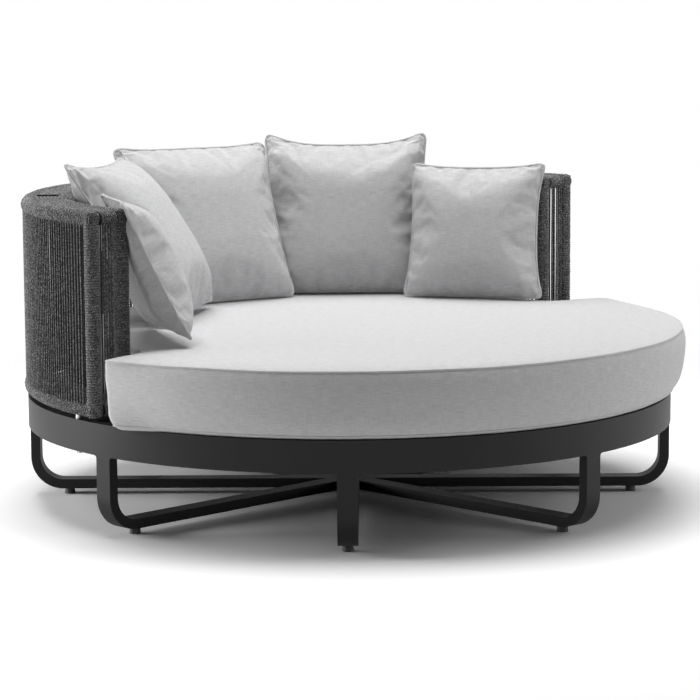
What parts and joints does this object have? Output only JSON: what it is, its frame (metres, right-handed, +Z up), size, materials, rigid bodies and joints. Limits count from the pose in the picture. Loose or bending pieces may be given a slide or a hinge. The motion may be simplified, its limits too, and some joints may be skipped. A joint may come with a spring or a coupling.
{
  "type": "round daybed",
  "caption": "Round outdoor daybed: rolled tube base ring on bent star legs, half-round rope-wound back wall, thick round mattress and loose back cushions.",
  "frame": {"origin": "on the floor under the axis of the base ring", "axes": "+Z up; the open front faces -Y and the back wall stands round the +Y half; +X is the sitter's left, on the right seen from the front"},
  "size_m": [1.7478, 1.741, 0.9277],
  "materials": {
    "frame_paint": "matte",
    "rope": "woven rope",
    "steel": "satin",
    "foot_plastic": "matte",
    "seat_fabric": "woven",
    "cushion_fabric": "woven"
  },
  "bodies": {
    "frame": {"apron_ring": "frame_paint", "leg_right": "frame_paint", "leg_back_right": "frame_paint", "leg_back": "frame_paint", "leg_back_left": "frame_paint", "leg_left": "frame_paint", "leg_front_left": "frame_paint", "leg_front": "frame_paint", "leg_front_right": "frame_paint", "centre_hub": "frame_paint", "deck_beams": "frame_paint", "deck_slats": "frame_paint", "bottom_rail_outer": "frame_paint", "bottom_rail_inner": "frame_paint", "top_rail_outer": "frame_paint", "top_rail_inner": "frame_paint", "right_post_outer": "frame_paint", "right_post_inner": "frame_paint", "left_post_outer": "frame_paint", "left_post_inner": "frame_paint", "end_ties": "frame_paint", "mid_posts": "frame_paint", "bottom_winding_outer": "rope", "bottom_winding_inner": "rope", "top_winding_outer": "rope", "top_winding_inner": "rope", "right_post_winding_outer": "rope", "right_post_winding_inner": "rope", "left_post_winding_outer": "rope", "left_post_winding_inner": "rope", "tie_windings": "rope", "top_lacing": "rope", "outer_strands": "rope", "inner_strands": "rope", "right_end_strands": "rope", "left_end_strands": "rope", "foot_nuts": "steel", "slat_screws": "steel", "back_spacers": "steel", "back_bolts": "steel"},
    "foot_right": {"foot_right": "foot_plastic"},
    "foot_back_right": {"foot_back_right": "foot_plastic"},
    "foot_back": {"foot_back": "foot_plastic"},
    "foot_back_left": {"foot_back_left": "foot_plastic"},
    "foot_left": {"foot_left": "foot_plastic"},
    "foot_front_left": {"foot_front_left": "foot_plastic"},
    "foot_front": {"foot_front": "foot_plastic"},
    "foot_front_right": {"foot_front_right": "foot_plastic"},
    "mattress": {"mattress": "seat_fabric"},
    "cushion_left_small": {"cushion_left_small": "cushion_fabric"},
    "cushion_left_large": {"cushion_left_large": "cushion_fabric"},
    "cushion_back_large": {"cushion_back_large": "cushion_fabric"},
    "cushion_right_large": {"cushion_right_large": "cushion_fabric"},
    "cushion_right_small": {"cushion_right_small": "cushion_fabric"}
  },
  "joints": [
    {"name": "foot_right_level", "type": "slide", "parent": "frame", "child": "foot_right", "axis": [0, 0, -1], "range_m": [0, 0.01]},
    {"name": "foot_back_right_level", "type": "slide", "parent": "frame", "child": "foot_back_right", "axis": [0, 0, -1], "range_m": [0, 0.01]},
    {"name": "foot_back_level", "type": "slide", "parent": "frame", "child": "foot_back", "axis": [0, 0, -1], "range_m": [0, 0.01]},
    {"name": "foot_back_left_level", "type": "slide", "parent": "frame", "child": "foot_back_left", "axis": [0, 0, -1], "range_m": [0, 0.01]},
    {"name": "foot_left_level", "type": "slide", "parent": "frame", "child": "foot_left", "axis": [0, 0, -1], "range_m": [0, 0.01]},
    {"name": "foot_front_left_level", "type": "slide", "parent": "frame", "child": "foot_front_left", "axis": [0, 0, -1], "range_m": [0, 0.01]},
    {"name": "foot_front_level", "type": "slide", "parent": "frame", "child": "foot_front", "axis": [0, 0, -1], "range_m": [0, 0.01]},
    {"name": "foot_front_right_level", "type": "slide", "parent": "frame", "child": "foot_front_right", "axis": [0, 0, -1], "range_m": [0, 0.01]},
    {"name": "mattress_lift", "type": "slide", "parent": "frame", "child": "mattress", "axis": [0, -0.866, 0.5], "range_m": [0, 0.6]},
    {"name": "cushion_left_small_lift", "type": "slide", "parent": "mattress", "child": "cushion_left_small", "axis": [0.383, -0.6634, 0.6428], "range_m": [0, 0.5]},
    {"name": "cushion_left_large_lift", "type": "slide", "parent": "mattress", "child": "cushion_left_large", "axis": [0.4545, -0.4545, 0.766], "range_m": [0, 0.5]},
    {"name": "cushion_back_large_lift", "type": "slide", "parent": "mattress", "child": "cushion_back_large", "axis": [-0.0537, 0.3043, 0.9511], "range_m": [0, 0.09]},
    {"name": "cushion_right_large_lift", "type": "slide", "parent": "mattress", "child": "cushion_right_large", "axis": [0.1533, 0.0815, 0.9848], "range_m": [0, 0.3]},
    {"name": "cushion_right_small_lift", "type": "slide", "parent": "mattress", "child": "cushion_right_small", "axis": [-0.5736, 0, 0.8192], "range_m": [0, 0.5]}
  ]
}
